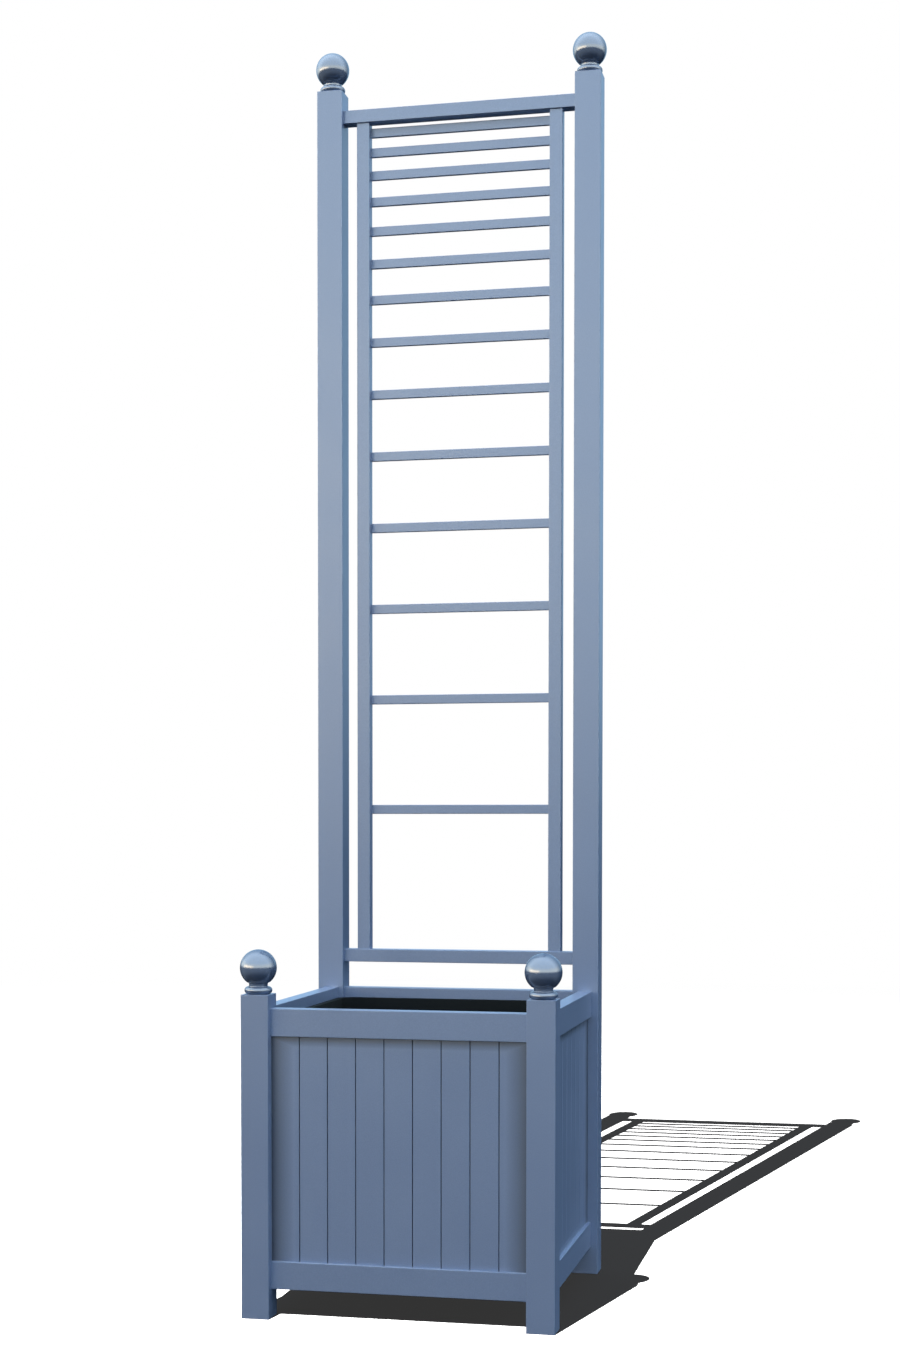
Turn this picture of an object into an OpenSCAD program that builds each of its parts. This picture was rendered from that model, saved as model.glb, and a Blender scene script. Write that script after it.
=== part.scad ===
// Square timber planter with a trellis back.
// X is the width, Y the depth with +Y towards the trellis, Z is up.
// The origin is the middle of the footprint, on the ground. All sizes are in millimetres.

/* [Box] */
// Width over the posts
box_w = 500; // [420:10:640]
// Depth over the posts
box_d = 500; // [420:10:640]
// Side of the square posts
post_size = 45; // [42:1:60]
// Height of the front posts, without their finials
front_post_h = 512; // [420:1:640]
// Radius of the rounded edges on all timber
arris_r = 1; // [0.5:0.25:2.5]

/* [Box rails] */
// Thickness of the rails
rail_t = 24; // [22:1:26]
// Height of the rails
rail_h = 44; // [36:1:60]
// Set-back of the rails behind the outer faces of the posts
rail_set_back = 12; // [8:1:14]
// Drop from the top of the front posts to the top of the rails
rail_drop = 22; // [10:1:40]
// Clear height under the bottom rails
ground_gap = 46.5; // [30:0.5:80]

/* [Boards] */
// Boards in each panel
board_count = 9; // [6:1:12]
// Thickness of the boards
board_t = 12; // [10:1:14]
// Width of the small bevel on each side of a board joint
joint_bevel = 0.5; // [0.3:0.1:1.5]
// Open joint between the faces of neighbouring boards, down to the tongue
joint_w = 1.1; // [0.6:0.1:2]
// Gap between neighbouring boards behind the tongue
shoulder_gap = 0.2; // [0.1:0.05:0.3]
// Thickness of the tongues
tongue_t = 4; // [3:0.5:5]
// Length of the tongues
tongue_l = 5; // [4:0.5:7]
// Depth of the grooves in the rails that hold the board ends
rail_groove = 8; // [6:1:10]
// Depth of the grooves in the posts that hold the outer boards
post_groove = 6; // [4:0.5:7]

/* [Finials] */
// Diameter of the ball
ball_d = 58.2; // [50:0.2:64]
// Height of the ball's centre above the post
ball_z = 41.2; // [40:0.2:46]
// Diameter of the neck under the ball
neck_d = 29.4; // [26:0.2:31]
// Height of the narrowest part of the neck
neck_z = 15; // [14.5:0.1:16.5]
// Radius of the hollow curve from the neck up to the ball
neck_cove_r = 3.4; // [2.5:0.1:4.5]
// Diameter of the small step under the neck
step_d = 31.4; // [30:0.2:36]
// Height of the top of the small step
step_z = 12.8; // [12.4:0.1:14]
// Largest diameter of the base bead
bead_d = 44; // [40:0.2:45]
// Radius of the base bead's rounding
bead_r = 6; // [4:0.1:6.2]
// Diameter of the finial where it stands on the post
base_d = 33; // [32:0.5:42]

/* [Trellis] */
// Height of the back posts, without their finials
back_post_h = 2060; // [1900:10:2400]
// Set-back of the trellis rails behind the front faces of the back posts
trellis_set_back = 12; // [8:1:14]
// Depth of the trellis rails, front to back
trellis_rail_t = 24; // [22:1:26]
// Height of the trellis rails
trellis_rail_h = 22.5; // [20:0.5:30]
// Drop from the top of the back posts to the top of the upper rail
upper_drop = 33; // [20:0.5:60]
// Rise from the top of the front posts to the underside of the lower rail
lower_rise = 23; // [15:0.5:60]
// Width of the stiles
stile_w = 22.5; // [18:0.5:30]
// Set-back of the stiles behind the front of the trellis rails
stile_set_back = 3; // [2:0.5:5]
// Clear gap between a stile and its post
stile_gap = 23; // [15:0.5:40]
// Height of the laths
lath_h = 16; // [12:0.5:20]
// Thickness of the laths
lath_t = 6; // [5:0.5:8]
// Radius of the rounded edges on the laths
lath_arris_r = 1; // [0.5:0.25:2]
// Gap between the upper rail and the top lath
lath_top_gap = 6.2; // [4:0.1:12]
// Height unit of the graduated lath spacing
lath_unit_h = 5.7; // [5:0.05:5.8]

/* [Joints] */
// Set-in of a tenon from the edge of its rail
tenon_shoulder = 6; // [4:0.5:7]
// Thickness of the box rails' tenons
tenon_t = 12; // [10:0.5:14]
// Thickness of the trellis rails' tenons
trellis_tenon_t = 12; // [10:0.5:14]
// Set-in of the trellis rails' tenons from the top and bottom of the rail
trellis_shoulder = 4; // [3:0.5:5]
// Length of the trellis rails' tenons
trellis_tenon_l = 18; // [12:1:22]
// Side of the stiles' square stub tenons
stub_s = 10; // [8:0.5:12]
// Length of the stiles' stub tenons
stub_l = 10; // [6:0.5:12]
// Length of a lath end housed in its stile
lath_house_l = 12; // [8:0.5:14]
// Play around a tenon, a tongue or a housed end
fit = 0.15; // [0.1:0.05:0.2]
// Spare depth at the end of a mortise or groove
end_play = 1; // [0.5:0.25:1.5]
// Play on each side of a tongue
tongue_play = 0.2; // [0.1:0.05:0.3]
// Gap between two tenons that meet inside a post
mitre_gap = 0.5; // [0.3:0.1:0.8]

/* [Liner] */
// Drop from the top of the rails to the rim of the liner
liner_drop = 17.5; // [10:0.5:40]
// Clear gap between the liner's rim and the rails
liner_gap = 2; // [1:0.5:6]
// Width of the rim's flange
flange_w = 8; // [6:0.5:14]
// Depth of the turned-down lip round the flange
lip_h = 12; // [8:1:20]
// Thickness of the liner's walls
liner_wall = 3; // [2:0.5:4]
// Corner radius of the rim
liner_corner_r = 32; // [30:1:60]
// Diameter of the drain holes
drain_d = 12; // [8:1:20]

/* [Floor] */
// Thickness of the floor slats
slat_t = 16; // [12:1:22]
// Number of floor slats
slat_count = 6; // [4:1:8]
// Gap between neighbouring slats
slat_gap = 10; // [6:1:16]
// Side of the square ledgers that carry the slats
ledger_s = 20; // [18:1:26]
// Clear end gap of the slats and ledgers
floor_play = 1; // [0.5:0.5:4]

/* [Fasteners] */
// Diameter of the finial screws
finial_screw_d = 8; // [6:0.5:10]
// Wood left between a finial screw and the rail tenons under it
finial_screw_clear = 3; // [2:0.5:5]
// Diameter of the finial screws at their points
finial_point_d = 1; // [0.8:0.1:2]
// Diameter of the wood screws
screw_d = 4; // [3.5:0.5:5]
// Diameter of the wood screws' countersunk heads
screw_head_d = 8; // [7:0.5:9]
// Length of the wood screws
screw_l = 34; // [30:1:36]
// Diameter of the wood screws at their points
screw_point_d = 0.6; // [0.4:0.1:1]
// Screws in each ledger
ledger_screws_n = 3; // [2:1:5]
// Diameter of the lath pins
pin_d = 1.6; // [1.4:0.1:2]
// Diameter of the lath pins' heads
pin_head_d = 3; // [2.6:0.1:3.6]
// Length of the lath pins
pin_l = 15; // [12:0.5:18]
// Play around a fastener in its hole
screw_fit = 0.05; // [0.03:0.01:0.1]

/* [Hidden] */
// Whole steps of lath_unit_h from one lath to the next, from the top down
LATH_STEPS = [6, 7, 8, 9, 10, 11, 13, 16, 19, 22, 25, 28, 34];
FRONT_BOARDS = [for (i = [1:board_count]) str("front_board_", i)];
LATHS = [for (i = [1:len(LATH_STEPS) + 1]) str("trellis_lath_", i)];

$fn = 48;
eps = 1;                 // how far a cutter or a joined piece reaches past a shared face
head_angle_h = (screw_head_d - screw_d) / 2;      // height of a 45 degree countersunk head
pin_head_h = (pin_head_d - pin_d) / 2;            // height of a pin's head
// Length of the finial screws on each side of the joint
finial_screw_l = rail_drop + tenon_shoulder - finial_screw_clear;

// Sides of the box, in order round it from the front
SIDES = [0, 1, 2, 3];
FRONT = SIDES[0];
RIGHT = SIDES[1];
BACK = SIDES[2];
LEFT = SIDES[3];

// Heights
rail_top_z = front_post_h - rail_drop;
top_rail_z = rail_top_z - rail_h;
bottom_rail_z = ground_gap;
board_z0 = bottom_rail_z + rail_h - rail_groove;
board_z1 = top_rail_z + rail_groove - end_play;
tenon_h = rail_h - rail_groove - end_play - tenon_shoulder;
top_tenon_z = rail_top_z - tenon_shoulder - tenon_h;
bottom_tenon_z = bottom_rail_z + tenon_shoulder;
lower_rail_z = front_post_h + lower_rise;
upper_rail_z = back_post_h - upper_drop - trellis_rail_h;
slat_z = bottom_rail_z + ledger_s;
liner_z = slat_z + slat_t;
liner_top_z = rail_top_z - liner_drop;

// Depths measured inwards from the outer faces of the posts
panel_mid = rail_set_back + rail_t / 2;
rail_inner = rail_set_back + rail_t;

// Trellis, in the depth of the back posts
trellis_y = box_d / 2 - post_size + trellis_set_back;
trellis_back_y = trellis_y + trellis_rail_t;
trellis_mid_y = trellis_y + trellis_rail_t / 2;
stile_t = trellis_rail_t - stile_set_back;
stile_y = trellis_back_y - stile_t;
stile_x = box_w / 2 - post_size - stile_gap - stile_w / 2;
stile_inner_x = stile_x - stile_w / 2;
lath_y = trellis_back_y - lath_t;
trellis_tenon_h = trellis_rail_h - 2 * trellis_shoulder;

// Floor
slat_run = box_d - 2 * post_size - 2 * floor_play;
slat_w = (slat_run - (slat_count - 1) * slat_gap) / slat_count;
ledger_x = box_w / 2 - rail_inner - ledger_s / 2;

// Total of the first n entries of a list
function total(list, n) = n <= 0 ? 0 : list[n - 1] + total(list, n - 1);

// Height of the top edge of lath i, counted from the top
function lath_top(i) = upper_rail_z - lath_top_gap - lath_unit_h * total(LATH_STEPS, i - 1);

// Distance over the posts, and clear span between them, along a side of the box
function side_w(side) = side % 2 == 0 ? box_w : box_d;
function side_span(side) = side_w(side) - 2 * post_size;

// Places its children on a side: x along the side, y inwards from the posts' outer faces
module on_side(side) {
    rotate([0, 0, 90 * side])
        translate([0, -side_w(side + 1) / 2, 0])
            children();
}

// Rectangle with rounded corners, from the origin
module rounded_rect(w, h, r) {
    translate([r, 0]) square([w - 2 * r, h]);
    translate([0, r]) square([w, h - 2 * r]);
    for (x = [r, w - r], y = [r, h - r]) translate([x, y]) circle(r);
}

// Bar along X with rounded long edges, from y 0 to t and z 0 to h
module bar_x(length, t, h, r) {
    rotate([90, 0, 90]) linear_extrude(length, center = true) rounded_rect(t, h, r);
}

// Upright block with all edges rounded, centred in x and y
module rounded_post(s, h, r) {
    intersection() {
        linear_extrude(h) translate([-s / 2, -s / 2]) rounded_rect(s, s, r);
        rotate([90, 0, 0]) linear_extrude(s + 2 * eps, center = true)
            translate([-s / 2, 0]) rounded_rect(s, h, r);
        rotate([90, 0, 90]) linear_extrude(s + 2 * eps, center = true)
            translate([-s / 2, 0]) rounded_rect(s, h, r);
    }
}

// Outline from above of a mitred tenon at the right end of a side, or of its mortise.
// The end follows the diagonal of the post, short of it by gap.
module tenon_outline(side, t, root, gap) {
    x0 = side_span(side) / 2;
    y0 = panel_mid - t / 2;
    y1 = panel_mid + t / 2;
    corner = side_w(side) / 2 - gap;
    polygon([[x0 - root, y0], [corner - y0, y0], [corner - y1, y1], [x0 - root, y1]]);
}

// ---------------------------------------------------------------- box rails

// Mortises and board groove that the right end of a side needs in its post
module side_mortises(side) {
    for (z = [top_tenon_z, bottom_tenon_z])
        translate([0, 0, z - fit]) linear_extrude(tenon_h + 2 * fit)
            tenon_outline(side, tenon_t + 2 * fit, eps, -mitre_gap);
    translate([side_span(side) / 2 - eps, panel_mid - board_t / 2 - fit, board_z0])
        cube([eps + post_groove + end_play / 2, board_t + 2 * fit, board_z1 - board_z0 + end_play]);
}

module mirrored_mortises(side) {
    mirror([1, 0, 0]) side_mortises(side);
}

// Rail of a side: at_top makes the top rail, otherwise the bottom rail
module box_rail(side, at_top) {
    span = side_span(side);
    z = at_top ? top_rail_z : bottom_rail_z;
    tenon_z = at_top ? top_tenon_z : bottom_tenon_z;
    groove_z = at_top ? z - eps : z + rail_h - rail_groove;
    color([0.42, 0.50, 0.61]) on_side(side) difference() {
        union() {
            translate([0, rail_set_back, z]) bar_x(span, rail_t, rail_h, arris_r);
            for (end = [0, 1]) mirror([end, 0, 0])
                translate([0, 0, tenon_z]) linear_extrude(tenon_h)
                    tenon_outline(side, tenon_t, eps, mitre_gap);
        }
        translate([-span / 2 - eps, panel_mid - board_t / 2 - fit, groove_z])
            cube([span + 2 * eps, board_t + 2 * fit, rail_groove + eps]);
        if (!at_top && side % 2 == 1) ledger_screw_row(side) screw_cutter();
    }
}

// ---------------------------------------------------------------- posts

// Post at the right end of a side; its other face meets the next side
module post(side, h) {
    next = (side + 1) % 4;
    color([0.44, 0.52, 0.63]) difference() {
        post_place(side) rounded_post(post_size, h, arris_r);
        on_side(side) side_mortises(side);
        on_side(next) mirrored_mortises(next);
        post_place(side) translate([0, 0, h - finial_screw_l - end_play])
            cylinder(d = finial_screw_d + 2 * screw_fit, h = finial_screw_l + end_play + eps);
        if (side == RIGHT || side == BACK) trellis_mortises(side == RIGHT ? 1 : -1);
    }
}

// Middle of the post at the right end of a side, on the ground
module post_place(side) {
    on_side(side)
        translate([side_w(side) / 2 - post_size / 2, post_size / 2, 0])
            children();
}

// Mortises for both trellis rails in the right (1) or left (-1) back post
module trellis_mortises(hand) {
    for (z = [lower_rail_z, upper_rail_z])
        translate([hand * (box_w / 2 - post_size), trellis_mid_y, z + trellis_rail_h / 2])
            cube([2 * (trellis_tenon_l + end_play), trellis_tenon_t + 2 * fit,
                  trellis_tenon_h + 2 * fit], center = true);
}

// ---------------------------------------------------------------- finials

// Half outline of the turned finial, standing on the post
module finial_outline() {
    intersection() {
        translate([0, ball_z]) circle(d = ball_d, $fn = 96);
        square([ball_d, ball_z + ball_d]);
    }
    square([neck_d / 2, ball_z]);
    difference() {
        translate([0, neck_z]) square([neck_d / 2 + neck_cove_r, neck_cove_r]);
        translate([neck_d / 2 + neck_cove_r, neck_z]) circle(neck_cove_r);
    }
    square([step_d / 2, step_z]);
    square([bead_d / 2 - bead_r, 2 * bead_r]);
    translate([bead_d / 2 - bead_r, bead_r]) circle(bead_r);
    square([base_d / 2, bead_r]);
}

module finial(side, h) {
    color([0.40, 0.48, 0.60]) post_place(side) translate([0, 0, h]) difference() {
        rotate_extrude($fn = 96) finial_outline();
        translate([0, 0, -eps])
            cylinder(d = finial_screw_d + 2 * screw_fit, h = finial_screw_l + end_play + eps);
    }
}

// Double-ended screw with pointed ends, half in the post and half in the finial
module finial_screw() {
    tip = finial_screw_d / 2;
    translate([0, 0, tip - finial_screw_l]) cylinder(d = finial_screw_d, h = 2 * (finial_screw_l - tip));
    for (end = [0, 1]) mirror([0, 0, end])
        translate([0, 0, finial_screw_l - tip]) cylinder(d1 = finial_screw_d, d2 = finial_point_d, h = tip);
}

module finial_screws() {
    color("silver") for (side = SIDES)
        post_place(side) translate([0, 0, post_h(side)]) finial_screw();
}

function post_h(side) = side == RIGHT || side == BACK ? back_post_h : front_post_h;

// ---------------------------------------------------------------- boards

// Section of board i of a side, counted from 1 at its left end, seen from above.
// Towards a neighbour the board stops just short of the joint's middle, and its face,
// in front of the tongue, stops further back.
module board_outline(side, i) {
    pitch = side_span(side) / board_count;
    first = i == 1;
    last = i == board_count;
    x0 = -side_span(side) / 2 + (i - 1) * pitch + (first ? -post_groove : shoulder_gap / 2);
    x1 = -side_span(side) / 2 + i * pitch + (last ? post_groove : -shoulder_gap / 2);
    y0 = panel_mid - board_t / 2;
    y1 = panel_mid + board_t / 2;
    tongue_y = panel_mid - tongue_t / 2;
    face_x0 = first ? x0 : x0 + (joint_w - shoulder_gap) / 2;
    face_x1 = last ? x1 : x1 - (joint_w - shoulder_gap) / 2;
    bevel_0 = first ? 0 : joint_bevel;
    bevel_1 = last ? 0 : joint_bevel;
    difference() {
        union() {
            translate([x0, tongue_y]) square([x1 - x0, y1 - tongue_y]);
            polygon([[face_x0 + bevel_0, y0], [face_x1 - bevel_1, y0], [face_x1, y0 + bevel_1],
                     [face_x1, panel_mid], [face_x0, panel_mid], [face_x0, y0 + bevel_0]]);
            if (!last) translate([x1 - eps, tongue_y]) square([eps + tongue_l, tongue_t]);
        }
        if (!first) translate([x0 - eps, tongue_y - tongue_play])
            square([eps + tongue_l + end_play / 2, tongue_t + 2 * tongue_play]);
    }
}

module board(side, i) {
    color([0.41, 0.49, 0.60]) on_side(side)
        translate([0, 0, board_z0]) linear_extrude(board_z1 - board_z0)
            board_outline(side, i);
}

module board_panel(side) {
    for (i = [1:board_count]) board(side, i);
}

// ---------------------------------------------------------------- trellis

module trellis_rail(z, stub_up) {
    color([0.50, 0.58, 0.68]) difference() {
        union() {
            translate([0, trellis_y, z])
                bar_x(box_w - 2 * post_size, trellis_rail_t, trellis_rail_h, arris_r);
            translate([0, trellis_mid_y, z + trellis_rail_h / 2])
                cube([box_w - 2 * post_size + 2 * trellis_tenon_l, trellis_tenon_t,
                      trellis_tenon_h], center = true);
        }
        for (hand = [-1, 1])
            translate([hand * stile_x, stile_y + stile_t / 2, stub_up ? z + trellis_rail_h : z])
                cube([stub_s + 2 * fit, stub_s + 2 * fit, 2 * (stub_l + end_play)], center = true);
    }
}

// Upright of the trellis with a stub tenon at each end and a housing for each lath
module stile(hand) {
    z0 = lower_rail_z + trellis_rail_h;
    h = upper_rail_z - z0;
    color([0.50, 0.58, 0.68]) difference() {
        union() {
            translate([hand * stile_x - stile_w / 2, stile_y, z0])
                linear_extrude(h) rounded_rect(stile_w, stile_t, arris_r);
            translate([hand * stile_x, stile_y + stile_t / 2, z0 + h / 2])
                cube([stub_s, stub_s, h + 2 * stub_l], center = true);
        }
        for (i = [1:len(LATHS)]) lath_housing(hand, i);
        lath_pin_places(hand) pin_shape(screw_fit);
    }
}

module lath_housing(hand, i) {
    reach = lath_house_l + end_play / 2;
    translate([hand * (stile_inner_x + (reach - eps) / 2), lath_y + (lath_t + eps) / 2,
               lath_top(i) - lath_h / 2])
        cube([reach + eps, lath_t + eps, lath_h + 2 * fit], center = true);
}

module lath(i) {
    color([0.52, 0.60, 0.70]) difference() {
        translate([0, lath_y, lath_top(i) - lath_h])
            bar_x(2 * (stile_inner_x + lath_house_l), lath_t, lath_h, lath_arris_r);
        for (hand = [-1, 1]) lath_pin_place(hand, i) pin_shape(screw_fit);
    }
}

// Back face of the lath over the middle of its housed end, looking out along +Z
module lath_pin_place(hand, i) {
    translate([hand * (stile_inner_x + lath_house_l / 2), trellis_back_y, lath_top(i) - lath_h / 2])
        rotate([-90, 0, 0]) children();
}

module lath_pin_places(hand) {
    for (i = [1:len(LATHS)]) lath_pin_place(hand, i) children();
}

// Pin driven down from z 0 with its head flush, or its hole when play is given
module pin_shape(play) {
    d = pin_d + 2 * play;
    head_d = pin_head_d + 2 * play;
    translate([0, 0, -pin_l - play]) cylinder(d = d, h = pin_l + play);
    translate([0, 0, -pin_head_h]) cylinder(d1 = d, d2 = head_d, h = pin_head_h);
    if (play > 0) cylinder(d = head_d, h = eps);
}

module lath_pins() {
    color("silver") for (hand = [-1, 1]) lath_pin_places(hand) pin_shape(0);
}

// ---------------------------------------------------------------- floor

// Countersunk wood screw driven down from z 0 with its head flush
module wood_screw() {
    tip = screw_d / 2;
    translate([0, 0, -screw_l + tip]) cylinder(d = screw_d, h = screw_l - tip);
    translate([0, 0, -screw_l]) cylinder(d1 = screw_point_d, d2 = screw_d, h = tip);
    translate([0, 0, -head_angle_h]) cylinder(d1 = screw_d, d2 = screw_head_d, h = head_angle_h);
}

module screw_cutter() {
    d = screw_d + 2 * screw_fit;
    head_d = screw_head_d + 2 * screw_fit;
    translate([0, 0, -screw_l - end_play / 2]) cylinder(d = d, h = screw_l + end_play / 2);
    translate([0, 0, -head_angle_h]) cylinder(d1 = d, d2 = head_d, h = head_angle_h);
    cylinder(d = head_d, h = eps);
}

// Row of screws along a ledger on a side, from its inner face outwards, in the side's own frame
module ledger_screw_row(side) {
    run = side_span(side) - 2 * floor_play;
    for (i = [1:ledger_screws_n])
        translate([run * ((i - 0.5) / ledger_screws_n - 0.5), rail_inner + ledger_s,
                   bottom_rail_z + ledger_s / 2])
            rotate([-90, 0, 0]) children();
}

// Row of slat screws along a ledger, in the side's own frame
module slat_screw_row(side) {
    for (i = [1:slat_count])
        translate([-slat_run / 2 + slat_w / 2 + (i - 1) * (slat_w + slat_gap),
                   rail_inner + ledger_s / 2, liner_z])
            children();
}

module floor_ledgers() {
    color([0.74, 0.62, 0.44]) for (side = [RIGHT, LEFT]) on_side(side) difference() {
        translate([0, rail_inner, bottom_rail_z])
            bar_x(side_span(side) - 2 * floor_play, ledger_s, ledger_s, arris_r / 2);
        ledger_screw_row(side) screw_cutter();
        slat_screw_row(side) screw_cutter();
    }
}

module floor_slats() {
    color([0.76, 0.64, 0.46]) difference() {
        for (i = [0:slat_count - 1])
            translate([0, -slat_run / 2 + i * (slat_w + slat_gap), slat_z])
                bar_x(box_w - 2 * rail_inner - 2 * floor_play, slat_w, slat_t, arris_r);
        for (side = [RIGHT, LEFT]) on_side(side) slat_screw_row(side) screw_cutter();
    }
}

module ledger_screws() {
    color("silver") for (side = [RIGHT, LEFT]) on_side(side) ledger_screw_row(side) wood_screw();
}

module slat_screws() {
    color("silver") for (side = [RIGHT, LEFT]) on_side(side) slat_screw_row(side) wood_screw();
}

// ---------------------------------------------------------------- liner

// Rounded rectangle centred on the origin, inset from the inner faces of the rails
module liner_outline(inset) {
    w = box_w - 2 * rail_inner - 2 * inset;
    d = box_d - 2 * rail_inner - 2 * inset;
    translate([-w / 2, -d / 2]) rounded_rect(w, d, liner_corner_r + liner_gap - inset);
}

module liner() {
    wall_inset = liner_gap + flange_w;
    drain_x = (box_w / 2 - rail_inner - wall_inset) / 2;
    drain_y = (box_d / 2 - rail_inner - wall_inset) / 2;
    color([0.08, 0.08, 0.09]) difference() {
        union() {
            translate([0, 0, liner_z]) linear_extrude(liner_top_z - liner_z)
                liner_outline(wall_inset);
            translate([0, 0, liner_top_z - liner_wall]) linear_extrude(liner_wall)
                liner_outline(liner_gap);
            translate([0, 0, liner_top_z - lip_h]) linear_extrude(lip_h) difference() {
                liner_outline(liner_gap);
                liner_outline(liner_gap + liner_wall);
            }
        }
        translate([0, 0, liner_z + liner_wall]) linear_extrude(liner_top_z)
            liner_outline(wall_inset + liner_wall);
        for (p = [[0, 0], [-1, -1], [1, -1], [-1, 1], [1, 1]])
            translate([p[0] * drain_x, p[1] * drain_y, liner_z - eps])
                cylinder(d = drain_d, h = liner_wall + 2 * eps);
    }
}

// ---------------------------------------------------------------- drawing

post(LEFT, front_post_h);  // post_front_left
post(FRONT, front_post_h);  // post_front_right
post(BACK, back_post_h);  // post_back_left
post(RIGHT, back_post_h);  // post_back_right
finial(LEFT, front_post_h);  // finial_front_left
finial(FRONT, front_post_h);  // finial_front_right
finial(BACK, back_post_h);  // finial_back_left
finial(RIGHT, back_post_h);  // finial_back_right
finial_screws();
box_rail(FRONT, true);  // rail_front_top
box_rail(RIGHT, true);  // rail_right_top
box_rail(BACK, true);  // rail_back_top
box_rail(LEFT, true);  // rail_left_top
box_rail(FRONT, false);  // rail_front_bottom
box_rail(RIGHT, false);  // rail_right_bottom
box_rail(BACK, false);  // rail_back_bottom
box_rail(LEFT, false);  // rail_left_bottom
for (i = [1:board_count])
    board(FRONT, i);
board_panel(RIGHT);  // boards_right
board_panel(BACK);  // boards_back
board_panel(LEFT);  // boards_left
trellis_rail(upper_rail_z, false);  // trellis_rail_upper
trellis_rail(lower_rail_z, true);  // trellis_rail_lower
stile(-1);  // trellis_stile_left
stile(1);  // trellis_stile_right
for (i = [1:len(LATHS)])
    lath(i);
lath_pins();
floor_ledgers();
ledger_screws();
floor_slats();
slat_screws();
liner();
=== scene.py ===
"""Painted timber planter: a square box with ball finials, a lift-out liner and a tall trellis back.

The construction comes from the frame. This script gives every piece its finish, turns the finials,
moulds the liner, and sets up the floor, the lights and the view. Lengths are in metres.
"""

import math

import bpy
from mathutils import Matrix, Vector


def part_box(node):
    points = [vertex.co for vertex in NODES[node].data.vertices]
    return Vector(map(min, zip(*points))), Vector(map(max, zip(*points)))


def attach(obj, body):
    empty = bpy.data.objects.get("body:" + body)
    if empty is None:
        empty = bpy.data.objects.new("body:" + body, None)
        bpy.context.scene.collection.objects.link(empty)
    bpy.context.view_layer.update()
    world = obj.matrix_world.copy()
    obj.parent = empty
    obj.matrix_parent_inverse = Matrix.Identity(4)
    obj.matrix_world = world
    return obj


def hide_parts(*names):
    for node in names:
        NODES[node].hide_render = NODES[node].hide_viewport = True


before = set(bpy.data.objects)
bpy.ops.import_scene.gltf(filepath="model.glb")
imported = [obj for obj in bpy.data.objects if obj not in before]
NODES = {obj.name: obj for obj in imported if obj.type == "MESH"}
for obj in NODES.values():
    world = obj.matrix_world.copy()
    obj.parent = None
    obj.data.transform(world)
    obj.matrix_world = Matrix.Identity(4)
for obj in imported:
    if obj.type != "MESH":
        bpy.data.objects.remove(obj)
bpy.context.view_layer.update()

# ---------------------------------------------------------------- sizes

MM = 0.001

# Softened edges: how far they are rounded, and from which angle an edge is sharp
EDGE_ROUND = 0.4 * MM
SHARP_EDGE = math.radians(40)
SMOOTH_ANGLE = math.radians(35)

# Boards: their thickness, and the painted shade on them: how far it reaches from the rail above and
# from the posts, how strong it is at the posts, how deep in a joint it starts and is full, and the
# paint's scale there
BOARD_T = 12 * MM
SHADE_UNDER_RAIL = 16 * MM
SHADE_BESIDE_POST = 36 * MM
SHADE_AT_POST = 0.85
JOINT_SHADE_START = 0.4 * MM
JOINT_SHADE_FULL = 1.2 * MM
SHADED_PAINT = 0.04

# Turned finial: radii from its axis, and heights up from the top of its post
FINIALS = ("finial_front_left", "finial_front_right", "finial_back_left", "finial_back_right")
BASE_R = 16.5 * MM
BEAD_R = 6.0 * MM
BEAD_REACH = 22 * MM
STEP_R = 15.7 * MM
STEP_Z = 12.8 * MM
STEP_ROUND = 0.5 * MM
NECK_R = 14.7 * MM
NECK_Z = 15 * MM
NECK_COVE_R = 3.4 * MM
LATHE_SEGMENTS = 96

# Moulded liner
LINER_WALL = 3 * MM
LINER_CORNER_R = 32 * MM
LINER_HEEL_R = 7 * MM
FLANGE_W = 8 * MM
FLANGE_ROUND = 1.2 * MM
LIP_H = 12 * MM
DRAIN_D = 12 * MM

# ---------------------------------------------------------------- colours

# Finishes and floor, as display red, green and blue from 0 to 255
PAINT = (125, 142, 169)
# The finials' paint is the same blue-grey paint made darker, as painted shade
SHADED_FINIAL_PAINT = (98, 114, 137)
SOFTWOOD = (206, 176, 132)
SOFTWOOD_RING = (184, 146, 98)
LINER_BLACK = (13, 16, 17)
ZINC = (176, 180, 184)
FLOOR_BASE = (26, 26, 26)
FLOOR_SHADOW = (51, 51, 51)
FLOOR_BOUNCE = (40, 42, 46)

# Scene colours of the background, of the soft sky and of the surroundings that the paint reflects
WHITE = (1, 1, 1)
SKY_TINT = (0.79, 0.99, 1.31)
SKY_HIGH = (4.1, 5.2, 6.3)
SKY_LOW = (5.6, 6.2, 6.2)
SKY_BEHIND = (0.5, 0.82, 1.12)
SUNSET = (14, 12.5, 10)
GROUND_FAR = (0.55, 0.68, 0.85)
GROUND_BEHIND = (0.01, 0.03, 0.06)
GROUND_NEAR = (0.02, 0.024, 0.028)

# ---------------------------------------------------------------- stage and view

# Strength of the soft sky at the horizon and straight overhead
SKY_LEVEL = (0.2, 1.32)

# Dome of the reflected surroundings. Each pair says where a change begins and where it is complete,
# along a direction and as shares of the dome's radius.
DOME_R = 80
UP = (0, 0, 1)
AHEAD = (0, -1, 0)
SUNSET_SIDE = (-0.78, -0.63, 0)
BACK_TO_FRONT = (-0.8, 0.1)
INTO_SUNSET = (0.72, 0.95)
HIGH_TO_SUNSET = (0.32, 0.14)
LOW_TO_HIGH_SKY = (0.2, 0.5)
FAR_TO_NEAR_GROUND = (-0.25, -0.75)
GROUND_TO_SKY = (-0.04, 0.13)

# Floor, and how far from the planter it starts to turn white and is white
FLOOR_SIZE = 60
FLOOR_FADE = (3.5, 7.0)

# The photograph's viewpoint
EYE = (0.77226, -3.45977, 0.78572)
EYE_DIP = 0.03546
EYE_TURN = 0.22652
SENSOR_W = 36.0
LENS = 56.443
LENS_SHIFT = (0.0249, 0.1551)
VIEW_REACH = 200


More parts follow.
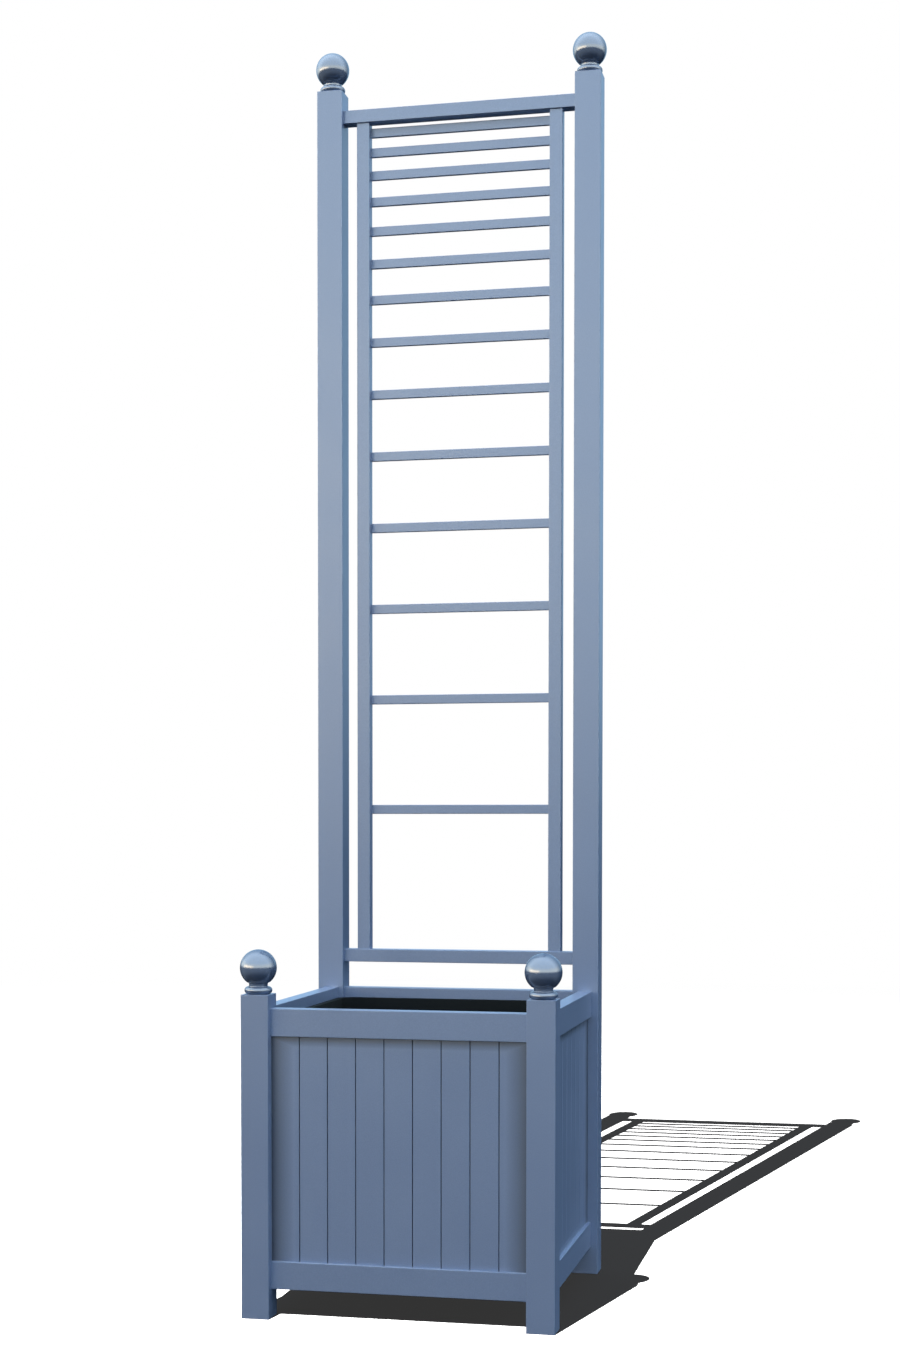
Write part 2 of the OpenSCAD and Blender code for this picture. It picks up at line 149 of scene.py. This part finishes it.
# ---------------------------------------------------------------- nodes


def linear(colour, scale=1.0):
    """Scene colour of a display colour, made lighter or darker by scale."""
    def channel(value):
        value = value / 255
        return value / 12.92 if value <= 0.04045 else ((value + 0.055) / 1.055) ** 2.4
    return tuple(channel(value) * scale for value in colour)


class Nodes:
    """The nodes of a material or the world. A value is a number, a colour or another node's output."""

    def __init__(self, owner, output="ShaderNodeOutputMaterial"):
        owner.use_nodes = True
        self.tree = owner.node_tree
        self.tree.nodes.clear()
        self.surface = self.add(output).inputs["Surface"]
        self.coordinates = self.add("ShaderNodeTexCoord").outputs

    def add(self, kind, **settings):
        node = self.tree.nodes.new(kind)
        for setting, value in settings.items():
            setattr(node, setting, value)
        return node

    def feed(self, socket, value):
        """Wires an output into the socket, or sets the socket to a plain number or colour."""
        if isinstance(value, bpy.types.NodeSocket):
            self.tree.links.new(value, socket)
        elif socket.type == "RGBA":
            socket.default_value = (*value, 1.0)
        else:
            socket.default_value = value

    def ramp(self, value, start, end, first=0.0, last=1.0, kind="LINEAR"):
        """Runs from first at start to last at end and stays there."""
        node = self.add("ShaderNodeMapRange", interpolation_type=kind)
        self.feed(node.inputs["Value"], value)
        self.feed(node.inputs["From Min"], start)
        self.feed(node.inputs["From Max"], end)
        self.feed(node.inputs["To Min"], first)
        self.feed(node.inputs["To Max"], last)
        return node.outputs["Result"]

    def math(self, operation, *values):
        node = self.add("ShaderNodeMath", operation=operation)
        for socket, value in zip(node.inputs, values):
            self.feed(socket, value)
        return node.outputs["Value"]

    def mix(self, share, first, second):
        """Colour that goes from the first to the second."""
        node = self.add("ShaderNodeMix", data_type="RGBA")
        self.feed(node.inputs["Factor"], share)
        self.feed(node.inputs["A"], first)
        self.feed(node.inputs["B"], second)
        return node.outputs["Result"]

    def mix_shader(self, share, first, second):
        node = self.add("ShaderNodeMixShader")
        for socket, value in zip(node.inputs, (share, first, second)):
            self.feed(socket, value)
        return node.outputs["Shader"]

    def glow(self, colour):
        node = self.add("ShaderNodeEmission")
        self.feed(node.inputs["Color"], colour)
        return node.outputs["Emission"]

    def background(self, colour, strength):
        node = self.add("ShaderNodeBackground")
        self.feed(node.inputs["Color"], colour)
        self.feed(node.inputs["Strength"], strength)
        return node.outputs["Background"]


class Finish(Nodes):
    """The surface of a piece: a shader, and the patterns on Object coordinates that feed it."""

    def __init__(self, name):
        self.material = bpy.data.materials.new(name)
        super().__init__(self.material)
        self.shader = self.add("ShaderNodeBsdfPrincipled")
        self.feed(self.surface, self.shader.outputs["BSDF"])
        self.place = self.coordinates["Object"]

    def shade(self, socket, value):
        self.feed(self.shader.inputs[socket], value)

    def drawn_out(self, along, scale):
        """Object coordinates for a pattern that runs along one axis, where its scale is smaller."""
        node = self.add("ShaderNodeMapping")
        self.feed(node.inputs["Vector"], self.place)
        self.feed(node.inputs["Scale"], tuple(scale if axis == along else 1.0 for axis in "xyz"))
        return node.outputs["Vector"]

    def noise(self, vector, scale, detail=3.0, roughness=0.5):
        node = self.add("ShaderNodeTexNoise")
        self.feed(node.inputs["Vector"], vector)
        self.feed(node.inputs["Scale"], scale)
        self.feed(node.inputs["Detail"], detail)
        self.feed(node.inputs["Roughness"], roughness)
        return node.outputs["Fac"]

    def between(self, noise, low, high):
        """Value from low to high as a noise goes from 0.3 to 0.7, where most of it lies."""
        return self.ramp(noise, 0.3, 0.7, low, high)

    def varied(self, noise, colour, dark, light):
        """Colour that a noise makes darker and lighter, by two scales."""
        return self.mix(self.between(noise, 0.0, 1.0), linear(colour, dark), linear(colour, light))

    def bump(self, height, depth, below=None):
        node = self.add("ShaderNodeBump")
        self.feed(node.inputs["Strength"], 1.0)
        self.feed(node.inputs["Distance"], depth)
        self.feed(node.inputs["Height"], height)
        if below:
            self.feed(node.inputs["Normal"], below)
        return node.outputs["Normal"]


# ---------------------------------------------------------------- finishes


def painted_shade_share(finish):
    """Painted shade on the boards, up to 1: in their joints, under the top rails and beside the posts.
    """
    face = -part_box("front_board_5")[0].y
    rail_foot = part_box("rail_front_top")[0].z
    post_side = -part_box("post_front_left")[1].x
    parts = finish.add("ShaderNodeSeparateXYZ")
    finish.feed(parts.inputs["Vector"], finish.place)
    from_x = finish.math("ABSOLUTE", parts.outputs["X"])
    from_y = finish.math("ABSOLUTE", parts.outputs["Y"])
    outward = finish.math("MAXIMUM", from_x, from_y)
    sideways = finish.math("MINIMUM", from_x, from_y)
    back = face - BOARD_T
    below_face = finish.ramp(outward, face - JOINT_SHADE_START, face - JOINT_SHADE_FULL)
    above_back = finish.ramp(outward, back + JOINT_SHADE_START, back + JOINT_SHADE_FULL)
    in_joint = finish.math("MINIMUM", below_face, above_back)
    under_rail = finish.ramp(parts.outputs["Z"], rail_foot - SHADE_UNDER_RAIL, rail_foot)
    beside_post = finish.ramp(sideways, post_side - SHADE_BESIDE_POST, post_side, last=SHADE_AT_POST)
    return finish.math("MAXIMUM", in_joint, finish.math("MAXIMUM", under_rail, beside_post))


def eggshell_paint(name, along, painted_shade=False):
    """Sprayed eggshell paint over planed softwood, with a trace of the grain along one axis, and on
    the boards painted shade in their creases.
    """
    finish = Finish(name)
    grain = finish.noise(finish.drawn_out(along, scale=0.06), scale=420, detail=4.0, roughness=0.55)
    cloud = finish.noise(finish.place, scale=9)
    peel = finish.noise(finish.place, scale=620, detail=2.0, roughness=0.6)
    tint = finish.varied(peel, PAINT, dark=0.93, light=1.05)
    # painted shade: the boards' paint turns darker in their joints, under the top rails and beside the
    # posts
    if painted_shade:
        tint = finish.mix(painted_shade_share(finish), tint, linear(PAINT, SHADED_PAINT))
    fine_grain = finish.bump(grain, depth=0.004 * MM)
    finish.shade("Base Color", tint)
    finish.shade("Roughness", finish.between(cloud, 0.285, 0.32))
    finish.shade("Normal", finish.bump(peel, depth=0.012 * MM, below=fine_grain))
    finish.shade("Specular IOR Level", 0.56)
    return finish.material


def finial_paint():
    """Sprayed satin paint on a turned finial, its colour darkened as painted shade."""
    finish = Finish("satin_paint_finial")
    cloud = finish.noise(finish.place, scale=24)
    peel = finish.noise(finish.place, scale=520, detail=2.0)
    finish.shade("Base Color", finish.varied(cloud, SHADED_FINIAL_PAINT, dark=0.96, light=1.04))
    finish.shade("Roughness", finish.between(cloud, 0.1, 0.14))
    finish.shade("Normal", finish.bump(peel, depth=0.006 * MM))
    finish.shade("Specular IOR Level", 0.8)
    return finish.material


def planed_softwood(name, along):
    """Bare planed softwood with its growth rings running along one axis."""
    finish = Finish(name)
    rings = finish.noise(finish.drawn_out(along, scale=0.05), scale=260, detail=2.0, roughness=0.4)
    fibre = finish.noise(finish.drawn_out(along, scale=0.06), scale=1500)
    tint = finish.mix(finish.between(rings, 0.0, 1.0), linear(SOFTWOOD), linear(SOFTWOOD_RING))
    finish.shade("Base Color", tint)
    finish.shade("Roughness", finish.between(fibre, 0.6, 0.75))
    finish.shade("Normal", finish.bump(fibre, depth=0.06 * MM))
    finish.shade("Specular IOR Level", 0.3)
    return finish.material


def zinc_plate():
    """Bright zinc plate on steel screws and pins."""
    finish = Finish("zinc_plate")
    cloud = finish.noise(finish.place, scale=700)
    finish.shade("Base Color", finish.varied(cloud, ZINC, dark=0.9, light=1.05))
    finish.shade("Roughness", finish.between(cloud, 0.28, 0.4))
    finish.shade("Metallic", 1.0)
    return finish.material


def moulded_black():
    """Matt black moulded plastic with a fine spark-eroded texture."""
    finish = Finish("moulded_black")
    cloud = finish.noise(finish.place, scale=14)
    spark = finish.noise(finish.place, scale=1400, detail=2.0)
    finish.shade("Base Color", finish.varied(cloud, LINER_BLACK, dark=0.85, light=1.1))
    finish.shade("Roughness", finish.between(cloud, 0.7, 0.8))
    finish.shade("Normal", finish.bump(spark, depth=0.05 * MM))
    finish.shade("Specular IOR Level", 0.06)
    return finish.material


PAINTED = {axis: eggshell_paint(f"eggshell_paint_{axis}", axis) for axis in "xyz"}
PAINTED_BOARDS = eggshell_paint("eggshell_paint_boards", "z", painted_shade=True)
FINIAL_PAINT = finial_paint()
SOFTWOOD_X = planed_softwood("planed_softwood_x", "x")
SOFTWOOD_Y = planed_softwood("planed_softwood_y", "y")
ZINC_PLATE = zinc_plate()
MOULDED_BLACK = moulded_black()


def finish_of(name):
    """The material of a node, with its grain along the timber."""
    if name in ("finial_screws", "ledger_screws", "slat_screws", "lath_pins"):
        return ZINC_PLATE
    if name == "floor_ledgers":
        return SOFTWOOD_Y
    if name == "floor_slats":
        return SOFTWOOD_X
    if name == "liner":
        return MOULDED_BLACK
    if name in FINIALS:
        return FINIAL_PAINT
    if "board" in name:
        return PAINTED_BOARDS
    low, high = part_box(name)
    size = high - low
    longest = max(range(3), key=lambda axis: size[axis])
    return PAINTED["xyz"[longest]]


def soften(piece):
    """Joins the loose facets, rounds the sharp edges a little and shades the curves smooth."""
    weld = piece.modifiers.new("weld", "WELD")
    weld.merge_threshold = 0.01 * MM
    merge = piece.modifiers.new("planar", "DECIMATE")
    merge.decimate_type = "DISSOLVE"
    merge.angle_limit = math.radians(0.5)
    bevel = piece.modifiers.new("bevel", "BEVEL")
    bevel.width = EDGE_ROUND
    bevel.segments = 2
    bevel.limit_method = "ANGLE"
    bevel.angle_limit = SHARP_EDGE
    bevel.harden_normals = False
    normals = piece.modifiers.new("normals", "WEIGHTED_NORMAL")
    normals.keep_sharp = True
    piece.data.polygons.foreach_set("use_smooth", [True] * len(piece.data.polygons))


def dress_nodes():
    """Gives every node of the frame its finish and its softened edges."""
    for name, piece in NODES.items():
        piece.data.materials.clear()
        piece.data.materials.append(finish_of(name))
        soften(piece)


# ---------------------------------------------------------------- modelling


def deselect():
    """Leaves edit mode with no object selected."""
    if bpy.context.object and bpy.context.object.mode != "OBJECT":
        bpy.ops.object.mode_set(mode="OBJECT")
    bpy.ops.object.select_all(action="DESELECT")


def pick(piece):
    """Makes the piece the only selected object, and the active one."""
    deselect()
    piece.select_set(True)
    bpy.context.view_layer.objects.active = piece


def apply_modifiers(piece):
    pick(piece)
    for modifier in list(piece.modifiers):
        bpy.ops.object.modifier_apply(modifier=modifier.name)


def copy_piece(piece, name, offset):
    """Copy with its own mesh, moved by offset in the mesh."""
    twin = piece.copy()
    twin.data = piece.data.copy()
    twin.name = name
    twin.data.transform(Matrix.Translation(offset))
    bpy.context.scene.collection.objects.link(twin)
    return twin


def select_edges(piece, wanted):
    """Selects the edges with both ends where wanted(place) is true. Edit mode stays on."""
    bpy.ops.mesh.select_mode(type="EDGE")
    bpy.ops.mesh.select_all(action="DESELECT")
    bpy.ops.object.mode_set(mode="OBJECT")
    corners = piece.data.vertices
    for edge in piece.data.edges:
        edge.select = all(wanted(corners[i].co) for i in edge.vertices)
    bpy.ops.object.mode_set(mode="EDIT")


# ---------------------------------------------------------------- finials


def arc(centre_r, centre_z, radius, start, end, steps):
    """Points (r, z) along an arc, angles in degrees from the outward direction."""
    angles = [math.radians(start + (end - start) * i / steps) for i in range(steps + 1)]
    return [(centre_r + radius * math.cos(a), centre_z + radius * math.sin(a)) for a in angles]


def finial_profile(ball_r, ball_z):
    """Outline (r, z) of the finial from its foot to just under the top of the ball."""
    bead_centre = BEAD_REACH - BEAD_R
    foot_dz = math.sqrt(BEAD_R ** 2 - (BASE_R - bead_centre) ** 2)
    foot_angle = -math.degrees(math.asin(foot_dz / BEAD_R))
    step_angle = math.degrees(math.acos((STEP_R - bead_centre) / BEAD_R))
    cove_top = NECK_Z + NECK_COVE_R
    ball_start = -math.degrees(math.asin((ball_z - cove_top) / ball_r))
    profile = [(BASE_R, 0.0)]
    profile += arc(bead_centre, BEAD_R, BEAD_R, foot_angle, step_angle, 22)
    profile += arc(STEP_R - STEP_ROUND, STEP_Z - STEP_ROUND, STEP_ROUND, 0, 90, 4)
    profile += [(NECK_R, STEP_Z)]
    profile += arc(NECK_R + NECK_COVE_R, NECK_Z, NECK_COVE_R, 180, 110, 6)
    profile += arc(0.0, ball_z, ball_r, ball_start, 88, 44)
    return profile


def turned_name(node):
    """Name of the turned piece that stands for a finial's node."""
    return node.replace("finial", "ball_finial")


def turn_finial(node):
    """The finial turned up from a ring at its foot."""
    low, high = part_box(node)
    centre = (low + high) / 2
    height = high.z - low.z
    ball_r = (high.x - low.x) / 2
    profile = finial_profile(ball_r, height - ball_r)
    deselect()
    bpy.ops.mesh.primitive_circle_add(vertices=LATHE_SEGMENTS, radius=BASE_R, fill_type="NGON",
                                      location=(centre.x, centre.y, low.z))
    piece = bpy.context.object
    piece.name = turned_name(node)
    bpy.ops.object.transform_apply(location=True)
    bpy.ops.object.mode_set(mode="EDIT")
    bpy.ops.mesh.select_all(action="SELECT")
    for (r0, z0), (r1, z1) in zip(profile, profile[1:]):
        middle = (centre.x, centre.y, low.z + z1)
        bpy.ops.mesh.extrude_edges_move(TRANSFORM_OT_translate={"value": (0, 0, z1 - z0)})
        bpy.ops.transform.resize(value=(r1 / r0, r1 / r0, 1), center_override=middle)
    last_rise = height - profile[-1][1]
    bpy.ops.mesh.extrude_edges_move(TRANSFORM_OT_translate={"value": (0, 0, last_rise)})
    bpy.ops.mesh.merge(type="CENTER")
    bpy.ops.mesh.select_all(action="SELECT")
    bpy.ops.mesh.remove_doubles(threshold=0.001 * MM)
    bpy.ops.mesh.normals_make_consistent(inside=False)
    bpy.ops.object.mode_set(mode="OBJECT")
    bpy.ops.object.shade_smooth_by_angle(angle=SMOOTH_ANGLE)
    piece.data.materials.append(FINIAL_PAINT)
    return piece


def fit_finials():
    """Turns the first finial and copies it onto the other posts."""
    first = turn_finial(FINIALS[0])
    start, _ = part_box(FINIALS[0])
    for node in FINIALS:
        low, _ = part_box(node)
        piece = first if node == FINIALS[0] else copy_piece(first, turned_name(node), low - start)
        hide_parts(node)
        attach(piece, "planter")


# ---------------------------------------------------------------- liner


def form_tub(low, high):
    """The liner's outer skin: flange, tub with a rounded heel, and lip. Edit mode stays on."""
    floor_z = low.z + LINER_WALL
    deselect()
    bpy.ops.mesh.primitive_plane_add(size=1, location=(0, 0, high.z))
    piece = bpy.context.object
    piece.name = "moulded_liner"
    piece.scale = (high.x - low.x, high.y - low.y, 1)
    bpy.ops.object.transform_apply(location=True, scale=True)
    bpy.ops.object.mode_set(mode="EDIT")
    bpy.ops.mesh.select_mode(type="VERT")
    bpy.ops.mesh.select_all(action="SELECT")
    bpy.ops.mesh.bevel(offset=LINER_CORNER_R, segments=12, affect="VERTICES")
    bpy.ops.mesh.select_mode(type="FACE")
    bpy.ops.mesh.select_all(action="SELECT")
    bpy.ops.mesh.inset(thickness=FLANGE_W + LINER_WALL, use_even_offset=True)
    bpy.ops.mesh.extrude_region_move(TRANSFORM_OT_translate={"value": (0, 0, floor_z - high.z)})
    select_edges(piece, lambda place: place.z < floor_z + MM)
    bpy.ops.mesh.bevel(offset=LINER_HEEL_R, segments=6, affect="EDGES")
    bpy.ops.mesh.select_mode(type="EDGE")
    bpy.ops.mesh.select_all(action="DESELECT")
    bpy.ops.mesh.select_non_manifold(use_wire=False, use_boundary=True, use_multi_face=False,
                                     use_non_contiguous=False, use_verts=False)
    bpy.ops.mesh.extrude_edges_move(TRANSFORM_OT_translate={"value": (0, 0, -LIP_H)})
    return piece


def round_flange(piece, high):
    """Rounds the two edges of the flange: the one over the lip and the one down into the tub."""
    select_edges(piece, lambda place: place.z > high.z - MM)
    bpy.ops.mesh.bevel(offset=FLANGE_ROUND, segments=4, affect="EDGES")


def thicken(piece):
    """Gives the skin its wall, on the inner side, with all its normals outward."""
    bpy.ops.mesh.select_all(action="SELECT")
    bpy.ops.mesh.normals_make_consistent(inside=False)
    bpy.ops.object.mode_set(mode="OBJECT")
    if piece.data.polygons[0].normal.z < 0:
        piece.data.flip_normals()
    wall = piece.modifiers.new("wall", "SOLIDIFY")
    wall.thickness = LINER_WALL
    wall.offset = -1
    wall.use_even_offset = True
    apply_modifiers(piece)


def drill_drains(piece, low, high):
    """Drain holes in the middle and towards the four corners of the liner's floor."""
    reach_x = ((high.x - low.x) / 2 - FLANGE_W) / 2
    reach_y = ((high.y - low.y) / 2 - FLANGE_W) / 2
    places = [(0, 0)] + [(x * reach_x, y * reach_y) for x in (-1, 1) for y in (-1, 1)]
    deselect()
    cutters = []
    for x, y in places:
        bpy.ops.mesh.primitive_cylinder_add(vertices=32, radius=DRAIN_D / 2, depth=4 * LINER_WALL,
                                            location=(x, y, low.z + LINER_WALL / 2))
        cutters.append(bpy.context.object)
    for cutter in cutters:
        cutter.select_set(True)
    bpy.ops.object.join()
    drill = bpy.context.object
    cut = piece.modifiers.new("drains", "BOOLEAN")
    cut.operation = "DIFFERENCE"
    cut.solver = "EXACT"
    cut.object = drill
    apply_modifiers(piece)
    pick(drill)
    bpy.ops.object.delete()


def mould_liner():
    """Tub with a flat flange, a turned-down lip, rounded edges and drain holes."""
    low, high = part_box("liner")
    piece = form_tub(low, high)
    round_flange(piece, high)
    thicken(piece)
    drill_drains(piece, low, high)
    pick(piece)
    bpy.ops.object.shade_smooth_by_angle(angle=SMOOTH_ANGLE)
    piece.data.materials.append(MOULDED_BLACK)
    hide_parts("liner")
    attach(piece, "liner")


# ---------------------------------------------------------------- floor and surroundings


def dress_stage(piece, name):
    """A new material on a piece of the stage, as its nodes."""
    material = bpy.data.materials.new(name)
    piece.data.materials.append(material)
    return Nodes(material)


def seen_rays(nodes):
    """1 for rays from the camera, a reflection or glass, and 0 for the light that surfaces gather."""
    path = nodes.add("ShaderNodeLightPath").outputs
    camera_or_shine = nodes.math("MAXIMUM", path["Is Camera Ray"], path["Is Glossy Ray"])
    return nodes.math("MAXIMUM", camera_or_shine, path["Is Transmission Ray"])


def stage_floor():
    """Pale floor that fades to white away from the planter and keeps its shadow.

    The floor lamp makes its lit part white. Its glow is what is left in the shadow.
    """
    deselect()
    bpy.ops.mesh.primitive_plane_add(size=FLOOR_SIZE, location=(0, 0, 0))
    floor = bpy.context.object
    floor.name = "studio_floor"
    floor.visible_glossy = False
    nodes = dress_stage(floor, "pale_floor")
    lit = nodes.add("ShaderNodeBsdfDiffuse")
    nodes.feed(lit.inputs["Color"], linear(FLOOR_BASE))
    near = nodes.add("ShaderNodeAddShader")
    nodes.feed(near.inputs[0], lit.outputs["BSDF"])
    nodes.feed(near.inputs[1], nodes.glow(linear(FLOOR_SHADOW)))
    distance = nodes.add("ShaderNodeVectorMath", operation="LENGTH")
    nodes.feed(distance.inputs[0], nodes.coordinates["Object"])
    away = nodes.ramp(distance.outputs["Value"], *FLOOR_FADE)
    seen = nodes.mix_shader(away, near.outputs["Shader"], nodes.glow(WHITE))
    bounce = nodes.glow(linear(FLOOR_BOUNCE))
    nodes.feed(nodes.surface, nodes.mix_shader(seen_rays(nodes), bounce, seen))
    return floor


def share_along(nodes, direction, change):
    """Runs from 0 where a change begins along a direction to 1 where it is complete, on the dome."""
    along = nodes.add("ShaderNodeVectorMath", operation="DOT_PRODUCT")
    nodes.feed(along.inputs[0], nodes.coordinates["Object"])
    nodes.feed(along.inputs[1], direction)
    start, end = change
    return nodes.ramp(along.outputs["Value"], start * DOME_R, end * DOME_R, kind="SMOOTHSTEP")


def shine_dome():
    """Sky over dark ground, seen only in the shine of the paint and brightest on the sunset side."""
    deselect()
    bpy.ops.mesh.primitive_uv_sphere_add(segments=64, ring_count=32, radius=DOME_R)
    dome = bpy.context.object
    dome.name = "shine_dome"
    dome.visible_camera = False
    dome.visible_diffuse = False
    dome.visible_shadow = False
    nodes = dress_stage(dome, "reflected_sky")
    in_front = share_along(nodes, AHEAD, BACK_TO_FRONT)
    by_sunset = share_along(nodes, SUNSET_SIDE, INTO_SUNSET)
    low_band = share_along(nodes, UP, HIGH_TO_SUNSET)
    high_up = share_along(nodes, UP, LOW_TO_HIGH_SKY)
    underfoot = share_along(nodes, UP, FAR_TO_NEAR_GROUND)
    above_horizon = share_along(nodes, UP, GROUND_TO_SKY)
    sunset_sky = nodes.mix(by_sunset, SKY_LOW, SUNSET)
    low_sky = nodes.mix(low_band, SKY_LOW, sunset_sky)
    front_sky = nodes.mix(high_up, low_sky, SKY_HIGH)
    sky = nodes.mix(in_front, SKY_BEHIND, front_sky)
    far_ground = nodes.mix(in_front, GROUND_BEHIND, GROUND_FAR)
    ground = nodes.mix(underfoot, far_ground, GROUND_NEAR)
    nodes.feed(nodes.surface, nodes.glow(nodes.mix(above_horizon, ground, sky)))


def stage_world():
    """White behind the planter, and a soft cool sky for its shaded sides, strongest overhead."""
    world = bpy.data.worlds.new("soft_sky")
    bpy.context.scene.world = world
    nodes = Nodes(world, "ShaderNodeOutputWorld")
    parts = nodes.add("ShaderNodeSeparateXYZ")
    nodes.feed(parts.inputs["Vector"], nodes.coordinates["Generated"])
    sky = nodes.background(SKY_TINT, nodes.ramp(parts.outputs["Z"], 0.0, 1.0, *SKY_LEVEL))
    white = nodes.background(WHITE, 1.0)
    nodes.feed(nodes.surface, nodes.mix_shader(seen_rays(nodes), sky, white))


# ---------------------------------------------------------------- lamps and camera


def softbox(name, place, target, size, power, colour):
    """Rectangular lamp that faces the target and shows in no reflection."""
    lamp = bpy.data.lights.new(name, "AREA")
    lamp.shape = "RECTANGLE"
    lamp.size, lamp.size_y = size
    lamp.energy = power
    lamp.color = colour
    holder = bpy.data.objects.new(name, lamp)
    holder.location = place
    holder.rotation_euler = (Vector(target) - Vector(place)).to_track_quat("-Z", "Y").to_euler()
    holder.visible_glossy = False
    bpy.context.scene.collection.objects.link(holder)


def floor_lamp(floor, place, power):
    """Small lamp that lights the floor alone and throws the planter's sharp shadow on it."""
    lamp = bpy.data.lights.new("floor_lamp", "POINT")
    lamp.energy = power
    lamp.shadow_soft_size = 0.005
    holder = bpy.data.objects.new("floor_lamp", lamp)
    holder.location = place
    bpy.context.scene.collection.objects.link(holder)
    floor_only = bpy.data.collections.new("floor_only")
    floor_only.objects.link(floor)
    holder.light_linking.receiver_collection = floor_only


def stage_lamps(floor):
    """Sunset glow from low at the left, a dim warm light on the back, and the floor's lamp."""
    softbox("glow_softbox", place=(-8.2, -5.4, 1.9), target=(0, 0, 0.9), size=(5, 2), power=120,
            colour=(1.0, 0.74, 0.4))
    softbox("back_softbox", place=(-2.4, 4.6, 2.0), target=(0, 0, 1.0), size=(3, 3), power=70,
            colour=(1.0, 0.84, 0.62))
    floor_lamp(floor, place=(-1.15, -6.9, 9.6), power=1.7e6)


def stage_camera():
    """Camera at the photograph's viewpoint."""
    view = bpy.data.cameras.new("camera")
    view.sensor_width = SENSOR_W
    view.sensor_fit = "AUTO"
    view.lens = LENS
    view.shift_x, view.shift_y = LENS_SHIFT
    view.clip_end = VIEW_REACH
    camera = bpy.data.objects.new("camera", view)
    camera.location = EYE
    camera.rotation_euler = (math.pi / 2 - EYE_DIP, 0, EYE_TURN)
    bpy.context.scene.collection.objects.link(camera)
    bpy.context.scene.camera = camera


# ---------------------------------------------------------------- scene

stage_camera()
dress_nodes()
fit_finials()
mould_liner()
pale_floor = stage_floor()
stage_world()
shine_dome()
stage_lamps(pale_floor)

bpy.context.scene.view_settings.view_transform = "Standard"
